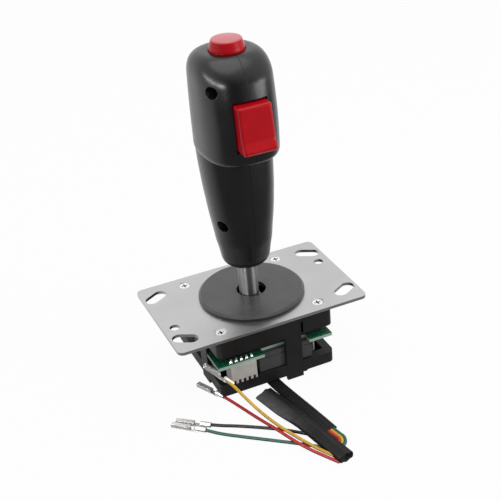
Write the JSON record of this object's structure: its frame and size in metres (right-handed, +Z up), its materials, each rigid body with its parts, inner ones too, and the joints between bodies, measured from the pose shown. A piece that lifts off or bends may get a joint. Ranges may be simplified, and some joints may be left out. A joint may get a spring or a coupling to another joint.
{
  "type": "flight stick",
  "caption": "Arcade flight stick: a two-shell pistol grip with a top button and a trigger on a ball-pivot steel shaft, over a panel plate, a microswitch base and a loose wired lead.",
  "frame": {"origin": "on the table under the shaft's axis, midway between the plate's edges", "axes": "+Z up along the shaft, +X along the plate's long side to the right of a player, and the trigger faces -Y"},
  "size_m": [0.1068, 0.1265, 0.165],
  "materials": {
    "plate_steel": "fine satin zinc coat",
    "bright_steel": "bright plated",
    "polished_steel": "polished",
    "black_plastic": "satin moulded",
    "grip_black": "fine satin texture",
    "board_green": "solder mask on pale laminate",
    "white_plastic": "plain moulded",
    "switch_grey": "plain moulded",
    "washer_plastic": "fine satin",
    "sleeve_black": "thin flexible sleeve",
    "wire_yellow": "satin insulation",
    "wire_red": "satin insulation",
    "wire_black": "satin insulation",
    "wire_green": "satin insulation",
    "tin": "tin plate",
    "red_plastic": "semi-gloss moulded",
    "plunger_red": "plain moulded"
  },
  "bodies": {
    "base": {"mounting_plate": "plate_steel", "plate_screws": "bright_steel", "base_housing": "black_plastic", "switch_board": "board_green", "header_shell": "white_plastic", "header_pins": "bright_steel", "switch_front": "switch_grey", "switch_right": "switch_grey", "switch_back": "switch_grey", "switch_left": "switch_grey", "switch_terminals": "bright_steel", "gate": "black_plastic", "dust_washer": "washer_plastic", "lead_sleeve": "sleeve_black", "lead_bend": "wire_red", "lead_hank": "sleeve_black", "wire_yellow": "wire_yellow", "wire_red": "wire_red", "wire_black": "wire_black", "wire_green": "wire_green", "terminal_yellow": "tin", "terminal_red": "tin", "terminal_black": "tin", "terminal_green": "tin"},
    "carrier": {"centering_spring": "bright_steel"},
    "stick": {"shaft": "polished_steel", "pivot_ball": "white_plastic", "actuator": "white_plastic", "retaining_ring": "bright_steel", "shaft_nut": "bright_steel", "grip_left_shell": "grip_black", "grip_right_shell": "grip_black", "grip_screws": "bright_steel", "trigger_pin": "bright_steel", "top_switch": "switch_grey", "trigger_switch": "switch_grey"},
    "button": {"top_button": "red_plastic"},
    "trigger": {"trigger": "red_plastic"},
    "button_plunger": {"top_plunger": "plunger_red"},
    "trigger_plunger": {"trigger_plunger": "plunger_red"},
    "front_plunger": {"plunger_front": "plunger_red"},
    "right_plunger": {"plunger_right": "plunger_red"},
    "back_plunger": {"plunger_back": "plunger_red"},
    "left_plunger": {"plunger_left": "plunger_red"}
  },
  "joints": [
    {"name": "tilt_side", "type": "hinge", "parent": "base", "child": "carrier", "pos_m": [0, 0, 0.029], "axis": [0, 1, 0], "range_deg": [-7, 7], "stiffness_Nm_per_rad": 1.6, "deforming": ["centering_spring"]},
    {"name": "tilt_fore", "type": "hinge", "parent": "carrier", "child": "stick", "pos_m": [0, 0, 0.029], "axis": [1, 0, 0], "range_deg": [-7, 7], "stiffness_Nm_per_rad": 1.6, "deforming": ["centering_spring"]},
    {"name": "button_press", "type": "slide", "parent": "stick", "child": "button", "axis": [0, 0, -1], "range_m": [0, 0.0015], "stiffness_N_per_m": 900, "springref_m": -0.001},
    {"name": "button_plunger_press", "type": "slide", "parent": "stick", "child": "button_plunger", "axis": [0, 0, -1], "range_m": [0, 0.0015]},
    {"name": "trigger_pull", "type": "hinge", "parent": "stick", "child": "trigger", "pos_m": [0, -0.015, 0.1395], "axis": [1, 0, 0], "range_deg": [0, 5], "stiffness_Nm_per_rad": 0.6, "springref_deg": -5.73},
    {"name": "trigger_plunger_press", "type": "slide", "parent": "stick", "child": "trigger_plunger", "axis": [0, 1, 0], "range_m": [0, 0.0012]},
    {"name": "front_plunger_press", "type": "slide", "parent": "base", "child": "front_plunger", "axis": [0, -1, 0], "range_m": [0, 0.0008], "stiffness_N_per_m": 900, "springref_m": -0.001},
    {"name": "right_plunger_press", "type": "slide", "parent": "base", "child": "right_plunger", "axis": [1, 0, 0], "range_m": [0, 0.0008], "stiffness_N_per_m": 900, "springref_m": -0.001},
    {"name": "back_plunger_press", "type": "slide", "parent": "base", "child": "back_plunger", "axis": [0, 1, 0], "range_m": [0, 0.0008], "stiffness_N_per_m": 900, "springref_m": -0.001},
    {"name": "left_plunger_press", "type": "slide", "parent": "base", "child": "left_plunger", "axis": [-1, 0, 0], "range_m": [0, 0.0008], "stiffness_N_per_m": 900, "springref_m": -0.001}
  ],
  "couplings": [
    {"joint": "button_plunger_press", "follows": "button_press", "ratio": 1},
    {"joint": "trigger_plunger_press", "follows": "trigger_pull", "m_per_rad": 0.0125}
  ]
}
